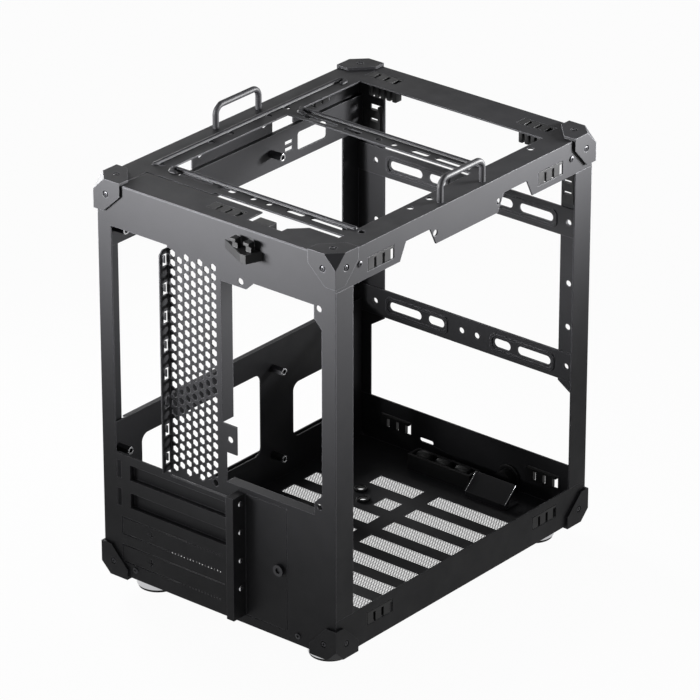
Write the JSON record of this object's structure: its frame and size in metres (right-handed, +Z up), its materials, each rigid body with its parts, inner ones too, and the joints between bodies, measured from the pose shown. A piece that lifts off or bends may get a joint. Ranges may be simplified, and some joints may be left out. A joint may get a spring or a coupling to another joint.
{
  "type": "mini-tower computer case",
  "caption": "Open black steel frame of a small computer case, with stamped rear panel, fan rails, corner caps, carry handles and round feet.",
  "frame": {"origin": "on the floor, under the middle of the whole object's box", "axes": "+Z up, -Y the rear with the connector opening, +X the open side opposite the motherboard tray"},
  "size_m": [0.2016, 0.2758, 0.3115],
  "materials": {
    "powder_coat": "satin powder coat",
    "black_plastic": "moulded",
    "rubber": "matt",
    "plated": "bright",
    "standoff_steel": "plated"
  },
  "bodies": {
    "root": {"access_cover": "powder_coat", "cable_holder": "black_plastic", "cover_thumbscrew": "standoff_steel", "drive_plate": "powder_coat", "floor_pan": "powder_coat", "foot_cups": "plated", "foot_pads": "rubber", "front_clips": "black_plastic", "front_fan_rail_lower": "powder_coat", "front_fan_rail_upper": "powder_coat", "front_left_post": "powder_coat", "front_right_post": "powder_coat", "left_clips": "black_plastic", "left_handle": "powder_coat", "lower_front_left_bracket": "powder_coat", "lower_front_right_bracket": "powder_coat", "lower_rear_left_bracket": "powder_coat", "lower_rear_right_bracket": "powder_coat", "motherboard_standoffs": "standoff_steel", "power_button": "black_plastic", "rear_latch": "black_plastic", "rear_left_post": "powder_coat", "rear_panel": "powder_coat", "rear_right_post": "powder_coat", "right_clips": "black_plastic", "right_handle": "powder_coat", "slot_cover_1": "powder_coat", "slot_cover_2": "powder_coat", "slot_ledge": "powder_coat", "top_clips": "black_plastic", "top_frame": "powder_coat", "tray_lower": "powder_coat", "tray_upper": "powder_coat", "upper_front_left_bracket": "powder_coat", "upper_front_right_bracket": "powder_coat", "upper_rear_left_bracket": "powder_coat", "upper_rear_right_bracket": "powder_coat"}
  },
  "joints": []
}
